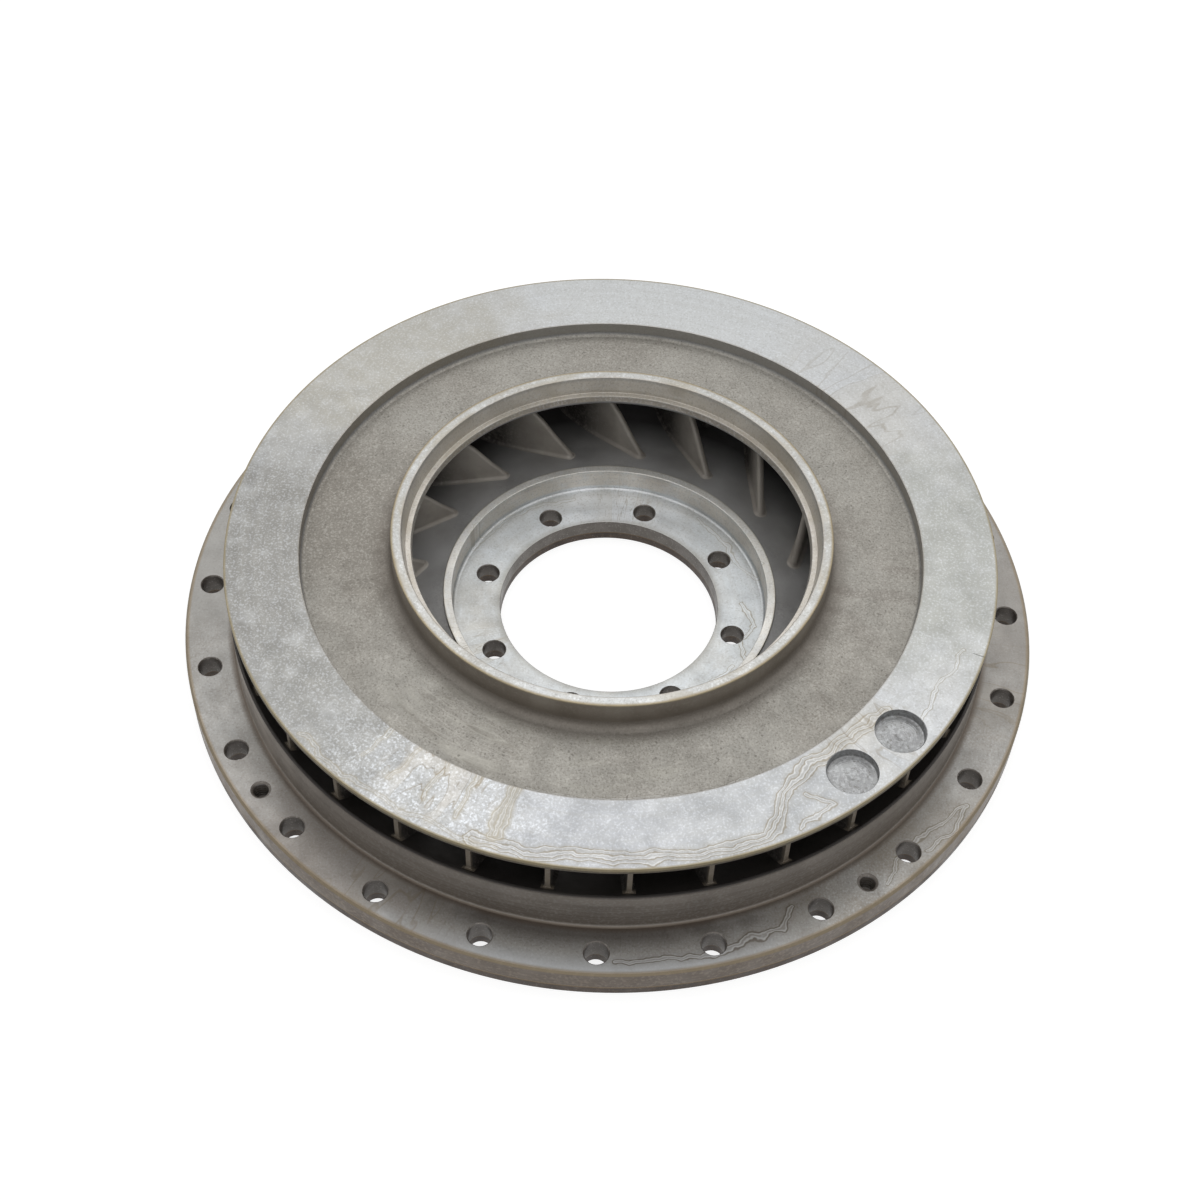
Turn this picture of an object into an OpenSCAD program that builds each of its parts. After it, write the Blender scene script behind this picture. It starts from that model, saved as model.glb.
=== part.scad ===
// Closed pump impeller of a hydrodynamic drive, lying on its back.
// The Z axis is the spin axis and z = 0 is the plane that it lies on.
// Fluid enters down through the eye, turns outward between a curved back
// shell and a front shroud, and leaves through the slot around the rim.

/* [Mounting flange] */
// Width of the flange outside the wall
flange_w = 22.9; // [21:0.1:30]
// Height of the machined top face of the flange above the hub's back
flange_z = 15; // [14:0.5:18]
// Chamfer round the top edge of the flange
flange_chamfer = 1; // [0.5:0.1:3]
// Distance of the flange holes' centres from the edge of the flange
flange_hole_inset = 10.4; // [8:0.1:12]
// Number of flange holes
flange_holes = 24; // [12:4:36]
// Diameter of each flange hole
flange_hole_d = 10.4; // [6:0.1:13]
// Number of smaller holes set between the flange holes
jack_holes = 4; // [2:1:4]
// Diameter of each smaller hole
jack_hole_d = 7.6; // [4:0.1:9]
// Angle of the first smaller hole
jack_hole_a = 37.5; // [37:0.1:38]

/* [Outer wall and slot] */
// Outside diameter of the wall and of the front ring
wall_d = 350; // [340:1:352]
// Thickness of the wall
wall_t = 9.5; // [7:0.5:12]
// Height of the top of the wall above the flange face
wall_h = 23; // [20:0.5:26]
// Width of the flat on top of the wall
wall_lip = 1.2; // [0.8:0.1:3]
// Radius of the fillet between the wall and the flange face
wall_fillet = 1.2; // [0.5:0.1:3]
// Height of the slot that the fluid leaves through
slot_h = 19; // [16:0.5:22]

/* [Front ring] */
// Thickness of the ring at its outer edge
ring_edge = 2.8; // [2:0.1:5]
// Size of the chamfer under the ring's edge, above the slot
ring_under = 3.4; // [2:0.1:4]
// Width of the machined face
ring_w = 33.6; // [30:0.1:40]
// Diameter of the two balance pockets
pocket_d = 22; // [10:0.5:24]
// Depth of the balance pockets
pocket_depth = 4.6; // [1:0.1:5]
// Distance of the pockets' centres from the edge of the ring
pocket_inset = 14.4; // [13:0.1:18]
// Angles of the balance pockets
pocket_a = [310.2, 321.0];

/* [Front shroud] */
// Depth of the cast recess below the machined face
recess = 7.4; // [5:0.1:9]
// Fillet at the outer foot of the recess
recess_fillet = 2; // [0.5:0.1:3]
// Fillet between the recess and the inlet rim
rim_fillet = 4; // [1:0.1:6]

/* [Inlet rim] */
// Outside diameter of the rim
rim_d = 200.2; // [198:0.2:204]
// Thickness of the rim at the eye's narrowest
rim_t = 9.4; // [9:0.1:12]
// Height of the rim above the machined face of the front ring
rim_h = 7.9; // [4:0.1:12]
// Width of the flat top of the rim
rim_flat = 4.8; // [3:0.1:5.6]
// Depth of the seat turned inside the rim
seat_depth = 8.6; // [5:0.1:9]
// Width of the flat bottom of that seat
seat_w = 2.4; // [1:0.1:2.8]
// How far the land below the seat leans outward
land_w = 0.6; // [0.2:0.1:1]
// Height of the narrow land below the seat
land_h = 2.9; // [1:0.1:4]

/* [Hub] */
// Diameter of the bore
bore_d = 103; // [90:0.5:106]
// Width of the hub from the bore to the outside of its lip
hub_w = 26.4; // [24:0.1:30]
// Width of the raised hub lip
lip_w = 4; // [3:0.1:5]
// Height of the hub lip above the flange face
lip_h = 9.4; // [8:0.1:11]
// Depth of the hub floor below the flange face
hub_drop = 2.9; // [1:0.1:5]
// Fillet at the edge of the hub floor
hub_fillet = 1.6; // [0.5:0.1:3]
// Distance of the hub holes' centres from the bore
hub_hole_inset = 8.9; // [7:0.1:12]
// Number of hub holes
hub_holes = 8; // [4:1:12]
// Diameter of each hub hole
hub_hole_d = 10.4; // [6:0.1:12]
// Angle of the first hub hole
hub_hole_a = 29.8; // [0:0.1:45]
// Thickness of the two backing rings, one under the hub and one under the flange
backing_t = 4.6; // [3:0.1:6]
// How far the hub's backing ring stops inside the outside of the hub lip
backing_inset = 5.4; // [2:0.1:10]

/* [Back shell and shroud curves] */
// How far the floor of the passage starts below the top of the hub lip
floor_step = 1.5; // [0.5:0.1:3]
// Reach of the floor's inner handle out from the hub lip
floor_in = 22; // [10:0.5:30]
// Height of that handle above the flange face
floor_in_z = 2; // [-2:0.5:6]
// Reach of the floor's outer handle in from the outside of the wall
floor_out = 39; // [25:0.5:50]
// Depth of that handle below the flange face
floor_out_z = 4; // [0:0.5:8]
// Reach of the back's inner handle out from the hub
back_in = 27; // [10:0.5:40]
// Reach of the back's outer handle in from the inside of the wall
back_out = 25.5; // [15:0.5:40]
// Depth of that handle below the flange face
back_out_z = 5.1; // [2:0.1:8]
// Depth below the top of the wall at which the back meets the wall
back_drop = 10; // [6:0.5:14]
// Reach of the shroud's inner handle out from the eye
roof_in = 4.3; // [1:0.1:10]
// Depth of that handle below the land
roof_in_z = 13; // [6:0.5:16]
// Reach of the shroud's outer handle in from the outside of the wall
roof_out = 40; // [25:0.5:50]
// Depth of that handle below the top of the slot
roof_out_z = 15.8; // [8:0.1:20]

/* [Vanes] */
// Number of full vanes, with a splitter between each pair
vanes = 16; // [10:1:18]
// Angle of the first full vane at its inlet foot
vane_a = 13.5; // [0:0.1:22.5]
// How far the inlet edge of a full vane stands inside the eye at the floor
vane_lead = 1.3; // [-4:0.1:4]
// How far the inlet edge of a full vane stands outside the eye at the shroud
vane_lag = 11; // [2:0.1:20]
// How far the inlet edge of a splitter stands outside the eye at the floor
splitter_lag = 33; // [10:0.5:50]
// How much farther out a splitter's inlet edge is at the shroud
splitter_rake = 3; // [0:0.5:10]
// Angle that a full vane sweeps from its inlet foot to its outlet
vane_wrap = 24.4; // [15:0.1:30]
// How early the sweep is spent: 1 is even, more is earlier
vane_curl = 3.4; // [1.5:0.1:4]
// Thickness of a vane near its inlet edge
vane_t = 3.6; // [3:0.1:5]
// Thickness of a vane at its outlet edge
outlet_t = 2.1; // [1.6:0.1:3]
// Fillet where a vane meets the shell and the shroud
vane_fillet = 2; // [1:0.1:3]
// How far the outlet edges stand in from the outside of the wall
outlet_inset = 3.6; // [3:0.1:8]

/* [Hidden] */
fine = 96;
steps = 14;
wall_r = wall_d / 2;
wall_in = wall_r - wall_t;
wall_foot = wall_r + wall_fillet;
flange_r = wall_r + flange_w;
flange_hole_r = flange_r - flange_hole_inset;
flange_back = backing_t;
wall_z = flange_z + wall_h;
slot_z = wall_z + slot_h;
face_z = slot_z + ring_edge;
ring_r = wall_r - ring_w;
recess_z = face_z - recess;
rim_r = rim_d / 2;
rim_z = face_z + rim_h;
eye_r = rim_r - rim_t;
seat_z = rim_z - seat_depth;
land_z = seat_z - land_h;
bore_r = bore_d / 2;
hub_hole_r = bore_r + hub_hole_inset;
lip_r = bore_r + hub_w;
lip_z = flange_z + lip_h;
floor_z = lip_z - floor_step;
hub_z = flange_z - hub_drop;
hub_back = backing_t;
vane_r = eye_r - vane_lead;
splitter_r = eye_r + splitter_lag;
outlet_r = wall_r - outlet_inset;
pocket_r = wall_r - pocket_inset;
// Depth by which cutting tools and vane blanks run past a face
over = 1.5;

function numbered(stem, i) = str(stem, i < 10 ? "0" : "", i);

// Point at t on the cubic curve with control points p
function bezier(p, t) =
    pow(1 - t, 3) * p[0] + 3 * t * pow(1 - t, 2) * p[1]
    + 3 * t * t * (1 - t) * p[2] + pow(t, 3) * p[3];
function curve(p, n = steps) = [for (i = [0 : n]) bezier(p, i / n)];

// Arc of radius r about c from angle a to angle b, as points
function arc(c, r, a, b, n = 5) =
    [for (i = [0 : n]) c + r * [cos(a + (b - a) * i / n), sin(a + (b - a) * i / n)]];

// The three curves of the meridional section, as radius and height
floor_ctrl = [
    [lip_r, floor_z], [lip_r + floor_in, flange_z + floor_in_z],
    [wall_r - floor_out, flange_z - floor_out_z], [wall_r - wall_lip, wall_z]];
roof_ctrl = [
    [eye_r, land_z], [eye_r + roof_in, land_z - roof_in_z],
    [wall_r - roof_out, slot_z - roof_out_z],
    [wall_r - ring_under, slot_z - ring_under]];
back_ctrl = [
    [lip_r, hub_back], [lip_r + back_in, hub_back],
    [wall_in - back_out, flange_z - back_out_z], [wall_in, wall_z - back_drop]];

// Height of a curve where it crosses radius r, on its straight steps
function height_on(pts, r) =
    let (n = len(pts) - 1,
         i = min(n - 1, max(0, len([for (p = pts) if (p[0] <= r) 1]) - 1)),
         a = pts[i], b = pts[i + 1])
    a[1] + (b[1] - a[1]) * (r - a[0]) / (b[0] - a[0]);

floor_pts = curve(floor_ctrl);
roof_pts = concat(curve(roof_ctrl), [[wall_r, slot_z]]);

// Back shell and outer wall as one section, down to the root in the flange
module shell_section()
    polygon(concat(floor_pts, [[wall_r, wall_z]],
        arc([wall_foot, flange_z + wall_fillet], wall_fillet, 180, 270),
        [[wall_foot, flange_back], [wall_in, flange_back]],
        [for (i = [steps : -1 : 0]) bezier(back_ctrl, i / steps)]));

module between(r0, r1)
    translate([r0, 0]) square([r1 - r0, 2 * rim_z]);

module turned() rotate_extrude($fn = fine) children();

module hole_circle(count, r, d, first, z0, z1)
    for (i = [0 : count - 1])
        rotate(first + i * 360 / count)
            translate([r, 0, z0 - over])
                cylinder(d = d, h = z1 - z0 + 2 * over, $fn = 32);

module hub()
    color([0.72, 0.73, 0.74])
    difference() {
        turned() polygon(concat(
            [[bore_r, hub_back], [lip_r, hub_back], [lip_r, lip_z],
             [lip_r - lip_w, lip_z]],
            arc([lip_r - lip_w - hub_fillet, hub_z + hub_fillet], hub_fillet, 0, -90),
            [[bore_r, hub_z]]));
        hole_circle(hub_holes, hub_hole_r, hub_hole_d, hub_hole_a, hub_back, hub_z);
    }

module hub_backing_ring()
    color([0.30, 0.29, 0.28])
    difference() {
        cylinder(r = lip_r - backing_inset, h = backing_t, $fn = fine);
        translate([0, 0, -over])
            cylinder(r = bore_r, h = backing_t + 2 * over, $fn = fine);
        hole_circle(hub_holes, hub_hole_r, hub_hole_d, hub_hole_a, 0, backing_t);
    }

module back_shell()
    color([0.45, 0.45, 0.45])
    turned() intersection() {
        shell_section();
        between(lip_r, wall_in);
    }

module outer_wall()
    color([0.55, 0.52, 0.50])
    turned() intersection() {
        shell_section();
        between(wall_in, wall_foot);
    }

module mounting_flange()
    color([0.70, 0.71, 0.72])
    difference() {
        turned() polygon([
            [wall_foot, flange_back], [flange_r, flange_back],
            [flange_r, flange_z - flange_chamfer],
            [flange_r - flange_chamfer, flange_z], [wall_foot, flange_z]]);
        flange_drilling(flange_back, flange_z);
    }

// Flange holes and smaller holes, through whatever lies between two heights
module flange_drilling(z0, z1) {
    hole_circle(flange_holes, flange_hole_r, flange_hole_d, 0, z0, z1);
    hole_circle(jack_holes, flange_hole_r, jack_hole_d, jack_hole_a, z0, z1);
}

module flange_backing_ring()
    color([0.30, 0.29, 0.28])
    difference() {
        cylinder(r = flange_r, h = backing_t, $fn = fine);
        translate([0, 0, -over])
            cylinder(r = wall_in, h = backing_t + 2 * over, $fn = fine);
        flange_drilling(0, backing_t);
    }

// Front of the wheel from the rim outward, with the cast recess left open
module front_section()
    polygon(concat(
        [for (p = roof_pts) if (p[0] > rim_r) p],
        [[wall_r, face_z], [ring_r, face_z]],
        arc([ring_r - recess_fillet, recess_z + recess_fillet], recess_fillet, 0, -90),
        arc([rim_r + rim_fillet, recess_z + rim_fillet], rim_fillet, 270, 180),
        [[rim_r, height_on(roof_pts, rim_r)]]));

module front_shroud()
    color([0.60, 0.58, 0.55])
    turned() intersection() {
        front_section();
        between(rim_r, ring_r);
    }

module front_ring()
    color([0.76, 0.76, 0.75])
    difference() {
        turned() intersection() {
            front_section();
            between(ring_r, wall_r);
        }
        for (a = pocket_a)
            rotate(a) translate([pocket_r, 0, face_z - pocket_depth])
                cylinder(d = pocket_d, h = pocket_depth + over, $fn = 64);
    }

module inlet_rim()
    color([0.78, 0.78, 0.77])
    turned() polygon(concat(
        [for (p = roof_pts) if (p[0] < rim_r) p],
        [[rim_r, height_on(roof_pts, rim_r)], [rim_r, rim_z],
         [rim_r - rim_flat, rim_z],
         [eye_r + land_w + seat_w, seat_z], [eye_r + land_w, seat_z]]));

// The space between shell and shroud that the vanes stand in
module passage()
    turned() polygon(concat(floor_pts, [[wall_r, wall_z]],
        [for (i = [len(roof_pts) - 1 : -1 : 0]) roof_pts[i]], [[lip_r, land_z]]));

// Angle of the middle of a vane at radius r, from its full vane's inlet foot
function way(r) = min(1, max(0, (r - vane_r) / (outlet_r - vane_r)));
function sweep(r) = vane_wrap * (1 - pow(1 - way(r), vane_curl));

// How much longer a cut along a circle is than the vane's thickness there
function skew(r) =
    let (turn = vane_wrap * vane_curl * pow(1 - way(r), vane_curl - 1)
             / (outlet_r - vane_r) * PI / 180)
    sqrt(1 + pow(r * turn, 2));

// Half thickness at part u of the length, with a blunt rounded nose
function half_t(u) =
    let (nose = min(1, u / 0.06))
    (vane_t * (1 - u) + outlet_t * u) / 2 * (0.35 + 0.65 * sqrt(nose * (2 - nose)));

// Stations along a vane, closer together at the nose
function stations(n) = concat([0, 0.012, 0.035], [for (i = [0 : n]) 0.07 + 0.93 * pow(i / n, 1.3)]);

// Levels up a vane that stands from z0 to z1, each with the flare of its fillet
function levels(z0, z1) = let (f = vane_fillet) [
    [z0 - over, f + over * 2.2], [z0 + 0.25 * f, 0.4 * f], [z0 + f, 0],
    [z1 - f, 0], [z1 - 0.25 * f, 0.4 * f], [z1 + over, f + over * 2.2]];

// Ring of points round a vane at part u of its length. The inlet edge runs
// from radius r0 at the floor to radius r1 at the shroud.
function vane_ring(r0, r1, u) =
    let (ra = r0 + (outlet_r - r0) * u, rb = r1 + (outlet_r - r1) * u,
         z0 = height_on(floor_pts, ra), z1 = height_on(roof_pts, rb),
         side = [for (l = levels(z0, z1))
             let (end = u == 0 ? -l[1] : u == 1 ? 0.6 * l[1] : 0,
                  r = ra + (rb - ra) * (l[0] - z0) / (z1 - z0) + end,
                  a = sweep(r),
                  w = (half_t(u) + l[1]) * skew(r) / r * 180 / PI)
             [r, a, w, l[0]]])
    concat([for (q = side) on_circle(q[0], q[1] - q[2], q[3])],
           [for (i = [len(side) - 1 : -1 : 0])
               on_circle(side[i][0], side[i][1] + side[i][2], side[i][3])]);

function on_circle(r, a, z) = [r * cos(a), r * sin(a), z];

// Skin stretched over rings of equal length, closed by two ladder-like ends
module loft(rings) {
    m = len(rings[0]);
    n = len(rings);
    half = m / 2;
    walls = [for (i = [0 : n - 2], j = [0 : m - 1])
        let (a = i * m + j, b = i * m + (j + 1) % m)
        each [[a, b, b + m], [a, b + m, a + m]]];
    ends = [for (j = [0 : half - 2])
        let (a = j, b = j + 1, c = m - 2 - j, d = m - 1 - j, k = (n - 1) * m)
        each [[a, d, c], [a, c, b], [k + a, k + b, k + c], [k + a, k + c, k + d]]];
    polyhedron([for (r = rings) each r], concat(walls, ends));
}

module blade(r0, r1, n)
    intersection() {
        loft([for (u = stations(n)) vane_ring(r0, r1, u)]);
        passage();
    }

module vane(i)
    color([0.42, 0.40, 0.38])
    rotate(vane_a + i * 360 / vanes) blade(vane_r, eye_r + vane_lag, 11);

module splitter(i)
    color([0.42, 0.40, 0.38])
    rotate(vane_a + (i + 0.5) * 360 / vanes) blade(splitter_r, splitter_r + splitter_rake, 6);

hub();
hub_backing_ring();
back_shell();
outer_wall();
mounting_flange();
flange_backing_ring();
front_shroud();
front_ring();
inlet_rim();
for (i = [1 : vanes]) {
    vane(i - 1);
    splitter(i - 1);
}
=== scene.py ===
import math

import bmesh
import bpy
from bpy.props import FloatProperty, FloatVectorProperty, IntProperty, PointerProperty
from mathutils import Matrix, Vector


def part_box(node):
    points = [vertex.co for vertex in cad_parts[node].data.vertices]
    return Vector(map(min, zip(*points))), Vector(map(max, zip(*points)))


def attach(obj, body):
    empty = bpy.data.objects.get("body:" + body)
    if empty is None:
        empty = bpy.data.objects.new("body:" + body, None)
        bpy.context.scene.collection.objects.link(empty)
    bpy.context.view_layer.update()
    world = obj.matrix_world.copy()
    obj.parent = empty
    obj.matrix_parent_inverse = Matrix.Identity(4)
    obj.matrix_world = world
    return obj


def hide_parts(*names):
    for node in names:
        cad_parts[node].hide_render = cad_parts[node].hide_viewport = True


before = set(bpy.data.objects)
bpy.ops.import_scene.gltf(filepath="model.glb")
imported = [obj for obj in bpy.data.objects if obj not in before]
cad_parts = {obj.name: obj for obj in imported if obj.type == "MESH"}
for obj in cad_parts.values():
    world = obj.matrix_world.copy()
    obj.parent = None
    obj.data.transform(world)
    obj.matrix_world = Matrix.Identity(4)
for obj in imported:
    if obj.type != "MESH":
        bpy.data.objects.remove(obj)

bl_info = {
    "name": "Pump impeller",
    "version": (1, 0, 0),
    "blender": (4, 5, 0),
    "location": "View3D > Sidebar > Impeller",
    "description": "Builds a closed pump impeller round its CAD frame, with its finishes and a studio",
    "category": "Add Mesh",
}

MM = 0.001
# Facets round the wheel.
SEGMENTS = 288
# Longest arc, in degrees, that a stain trail draws as one straight stretch.
ARC_STEP = 9

# Angles round the wheel in degrees: the first hub hole, the first jack hole, the scribed
# line and the two balance pockets, whose floors have these slopes along x and y.
HUB_HOLE_TURN = 29.8
JACK_TURN = 37.5
SCRIBE_TURN = -20.1
POCKET_TURNS = (310.2, 321.0)
POCKET_TILTS = ((0.022, 0.012), (-0.012, 0.02))

# How far the full vanes start outside the eye, and how far all blades end inside the
# wall, in mm. Then each kind of blade: its name, the share of the spacing that it stands
# behind a full vane, and where its inlet edge lies outside the eye, at floor and roof.
VANE_START, VANE_END = -1.3, 3.6
BLADES = (("vane", 0.0, VANE_START, 11), ("splitter", 0.5, 33, 36))

# Camera: focal length and sensor in mm, rise and roll in degrees, place in metres.
LENS, SENSOR = 58.74, 36
RISE, ROLL = 50.98, 2.278
CAMERA_PLACE = (-0.00428, -0.5828, 0.7338)

# Studio: lamps with their place and size in metres and their power in watts, the
# surroundings' light on the wheel, and the paper's own glow as the camera sees it.
LAMPS = (("overhead softbox", (0.0, 0.55, 1.4), 1.2, 6.3),
         ("front softbox", (0.1, -1.3, 1.3), 0.8, 2.0))
AMBIENT = 0.4
PAPER_GLOW = 0.86


def colour(name, description, code):
    """A colour property whose default is an sRGB hex value."""
    return FloatVectorProperty(name=name, description=description, subtype="COLOR",
                               size=3, min=0, max=1, default=linear(code)[:3])


def length(name, description, millimetres):
    """A length property whose default is in millimetres."""
    return FloatProperty(name=name, description=description, unit="LENGTH",
                         default=millimetres * MM)


def linear(code):
    """Linear colour of an sRGB hex value."""
    parts = [int(code[i:i + 2], 16) / 255 for i in (1, 3, 5)]
    return [c / 12.92 if c <= 0.04045 else ((c + 0.055) / 1.055) ** 2.4 for c in parts] + [1]


# ---------------------------------------------------------------- sizes

def top(node):
    """Outside radius and top height of a CAD node."""
    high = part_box(node)[1]
    return high.x / MM, high.z / MM


FLANGE_R, FLANGE_Z = top("mounting_flange")
WALL_R, FACE_Z = top("front_ring")
WALL_Z = top("outer_wall")[1]
RIM_R, RIM_Z = top("inlet_rim")
LIP_R, LIP_Z = top("hub")
BACKING_R, BACKING_Z = top("hub_backing_ring")


class ImpellerSizes(bpy.types.PropertyGroup):
    flange_r: length("Flange radius", "Outside of the mounting flange", FLANGE_R)
    flange_z: length("Flange face", "Height of the flange's machined face", FLANGE_Z)
    flange_edge: length("Flange chamfer", "Chamfer round the top edge of the flange", 1.0)
    bolt_r: length("Bolt circle", "Radius of the circle of flange holes", 187.5)
    bolt_d: length("Bolt hole", "Diameter of the flange holes", 10.4)
    bolts: IntProperty(name="Bolt holes", description="Number of flange holes", default=24)
    jack_d: length("Jack hole", "Diameter of the tapped jack holes", 7.6)
    jacks: IntProperty(name="Jack holes", description="Number of jack holes", default=4)
    wall_r: length("Wall radius", "Outside of the wall and of the front ring", WALL_R)
    wall_t: length("Wall thickness", "Thickness of the outer wall", 9.5)
    wall_z: length("Wall top", "Height of the top of the outer wall", WALL_Z)
    wall_lip: length("Wall lip", "Width of the flat on top of the wall", 1.2)
    wall_foot: length("Wall fillet", "Fillet between wall and flange", 1.2)
    face_z: length("Front face", "Height of the machined front face", FACE_Z)
    ring_w: length("Ring width", "Width of the machined front ring", 33.6)
    ring_edge: length("Ring edge", "Thickness of the front ring at its edge", 2.8)
    ring_under: length("Ring undercut", "Chamfer under the ring's edge", 3.4)
    pocket_r: length("Pocket circle", "Radius on which the balance pockets lie", 160.6)
    pocket_d: length("Pocket", "Diameter of a balance pocket", 22.0)
    pocket_depth: length("Pocket depth", "Depth of a balance pocket", 4.6)
    recess: length("Recess", "Depth of the cast recess below the front face", 7.4)
    recess_fillet: length("Recess fillet", "Fillet at the outer foot of the recess", 2.0)
    rim_fillet: length("Rim fillet", "Fillet between recess and inlet rim", 4.0)
    rim_r: length("Rim radius", "Outside of the inlet rim", RIM_R)
    rim_z: length("Rim top", "Height of the top of the inlet rim", RIM_Z)
    rim_t: length("Rim thickness", "Thickness of the rim at the eye", 9.4)
    rim_flat: length("Rim flat", "Width of the flat top of the rim", 4.8)
    seat_depth: length("Seat depth", "Depth of the seat inside the rim", 8.6)
    seat_w: length("Seat width", "Width of the bottom of that seat", 2.4)
    land_w: length("Land lean", "How far the land below the seat leans outward", 0.6)
    land_h: length("Land height", "Height of the land below the seat", 2.9)
    bore_r: length("Bore radius", "Radius of the bore", 51.5)
    lip_r: length("Hub radius", "Outside of the raised hub lip", LIP_R)
    lip_z: length("Hub lip", "Height of the hub lip", LIP_Z)
    lip_w: length("Lip width", "Width of the hub lip", 4.0)
    hub_z: length("Hub floor", "Height of the hub floor", 12.1)
    hub_fillet: length("Hub fillet", "Fillet at the edge of the hub floor", 1.6)
    hub_bolt_r: length("Hub bolt circle", "Radius of the circle of hub holes", 60.4)
    hub_bolts: IntProperty(name="Hub holes", description="Number of hub holes", default=8)
    backing_r: length("Backing radius", "Outside of the hub's backing ring", BACKING_R)
    backing_z: length("Backing thickness", "Thickness of both backing rings", BACKING_Z)
    edge: length("Edge rounding", "Rounding of the machined edges", 0.35)
    vane_t: length("Vane nose", "Thickness of a vane at its nose", 3.4)
    outlet_t: length("Vane tip", "Thickness of a vane at its outlet", 2.1)
    vane_fillet: length("Vane fillet", "Fillet where a vane meets shell and shroud", 2.0)
    vanes: IntProperty(name="Vanes", description="Number of full vanes", default=16)
    vane_angle: FloatProperty(name="First vane", description="Angle of the first full vane",
                              subtype="ANGLE", default=math.radians(13.5))
    vane_wrap: FloatProperty(name="Wrap", description="Angle that a vane sweeps",
                             subtype="ANGLE", default=math.radians(24.4))
    vane_curl: FloatProperty(name="Curl", description="How early the sweep is spent", default=3.4)


class ImpellerLooks(bpy.types.PropertyGroup):
    floor: colour("Floor", "Colour of the studio floor", "#9a9a9a")
    ring: colour("Front ring", "Turned aluminium of the front face", "#bec0c2")
    flange: colour("Flange", "Turned aluminium of the flange", "#a9a7a3")
    hub: colour("Hub", "Turned aluminium of the hub", "#bfc3c5")
    rim: colour("Inlet rim", "Turned aluminium of the inlet rim", "#b9b9b6")
    cast: colour("Casting", "Sand-cast aluminium of the recess", "#a29f98")
    wall: colour("Outer wall", "Turned aluminium with an oil film", "#8b847d")
    vane: colour("Vanes", "As-cast aluminium of the vanes", "#ada79f")
    passage: colour("Passage", "As-cast aluminium of shell and shroud", "#a4a3a2")
    steel: colour("Backing rings", "Oiled steel", "#4b3e34")


def sizes():
    return bpy.context.scene.impeller_sizes


def looks():
    return bpy.context.scene.impeller_looks


# ---------------------------------------------------------------- sections

def bezier(points, t):
    """Point at t on a cubic curve."""
    a, b, c, d = (Vector(p) for p in points)
    s = 1 - t
    return s ** 3 * a + 3 * s * s * t * b + 3 * s * t * t * c + t ** 3 * d


def curve(points, steps=48):
    return [tuple(bezier(points, i / steps)) for i in range(steps + 1)]


def height_on(line, radius):
    """Height of an outward-running line at a radius."""
    for (r0, z0), (r1, z1) in zip(line, line[1:]):
        if radius <= r1:
            return z0 + (z1 - z0) * (radius - r0) / (r1 - r0)
    return line[-1][1]


def part_of(line, low, high):
    """The stretch of an outward-running line between two radii."""
    inner = [p for p in line if low < p[0] < high]
    return [(low, height_on(line, low))] + inner + [(high, height_on(line, high))]


def floor_line(s):
    """Floor of the passage, from the hub lip to the top of the wall."""
    return curve([(s.lip_r, s.lip_z - 1.5 * MM), (s.lip_r + 22 * MM, s.flange_z + 2 * MM),
                  (s.wall_r - 39 * MM, s.flange_z - 4 * MM), (s.wall_r - s.wall_lip, s.wall_z)])


def roof_line(s):
    """Underside of the front shroud, from the eye to the chamfer under the ring."""
    eye, land, slot = eye_r(s), land_z(s), s.face_z - s.ring_edge
    return curve([(eye, land), (eye + 4.3 * MM, land - 13 * MM),
                  (s.wall_r - 40 * MM, slot - 15.8 * MM),
                  (s.wall_r - s.ring_under, slot - s.ring_under)]) + [(s.wall_r, slot)]


def back_line(s):
    """Outside of the back shell, from the hub to the inside of the wall."""
    wall_in = s.wall_r - s.wall_t
    return curve([(s.lip_r, s.backing_z), (s.lip_r + 27 * MM, s.backing_z),
                  (wall_in - 25.5 * MM, s.flange_z - 5.1 * MM),
                  (wall_in, s.wall_z - 10 * MM)])


def eye_r(s):
    return s.rim_r - s.rim_t


def land_z(s):
    return s.rim_z - s.seat_depth - s.land_h


def arc(centre, radius, start, end, steps=6):
    """Arc in the section, its angles in degrees."""
    turns = [math.radians(start + (end - start) * i / steps) for i in range(steps + 1)]
    return [(centre[0] + radius * math.cos(t), centre[1] + radius * math.sin(t)) for t in turns]


def rounded(corners, steps=3):
    """Closed section whose corners (radius, height, rounding) become short arcs."""
    section = []
    count = len(corners)
    for i, corner in enumerate(corners):
        here = Vector(corner[:2])
        if len(corner) < 3:
            section.append(tuple(here))
            continue
        before = Vector(corners[i - 1][:2]) - here
        after = Vector(corners[(i + 1) % count][:2]) - here
        reach = corner[2] / math.tan(before.angle(after) / 2)
        p = here + before.normalized() * reach
        q = here + after.normalized() * reach
        for k in range(steps + 1):
            t = k / steps
            section.append(tuple((1 - t) ** 2 * p + 2 * t * (1 - t) * here + t * t * q))
    return section


# ---------------------------------------------------------------- meshes

def turned(section, segments=SEGMENTS):
    """Mesh of a closed section turned round the spin axis."""
    mesh = bmesh.new()
    rings = []
    for k in range(segments):
        a = 2 * math.pi * k / segments
        rings.append([mesh.verts.new((r * math.cos(a), r * math.sin(a), z)) for r, z in section])
    count = len(section)
    for k in range(segments):
        here, there = rings[k], rings[(k + 1) % segments]
        for i in range(count):
            j = (i + 1) % count
            mesh.faces.new((here[i], there[i], there[j], here[j]))
    bmesh.ops.recalc_face_normals(mesh, faces=mesh.faces)
    return mesh


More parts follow.
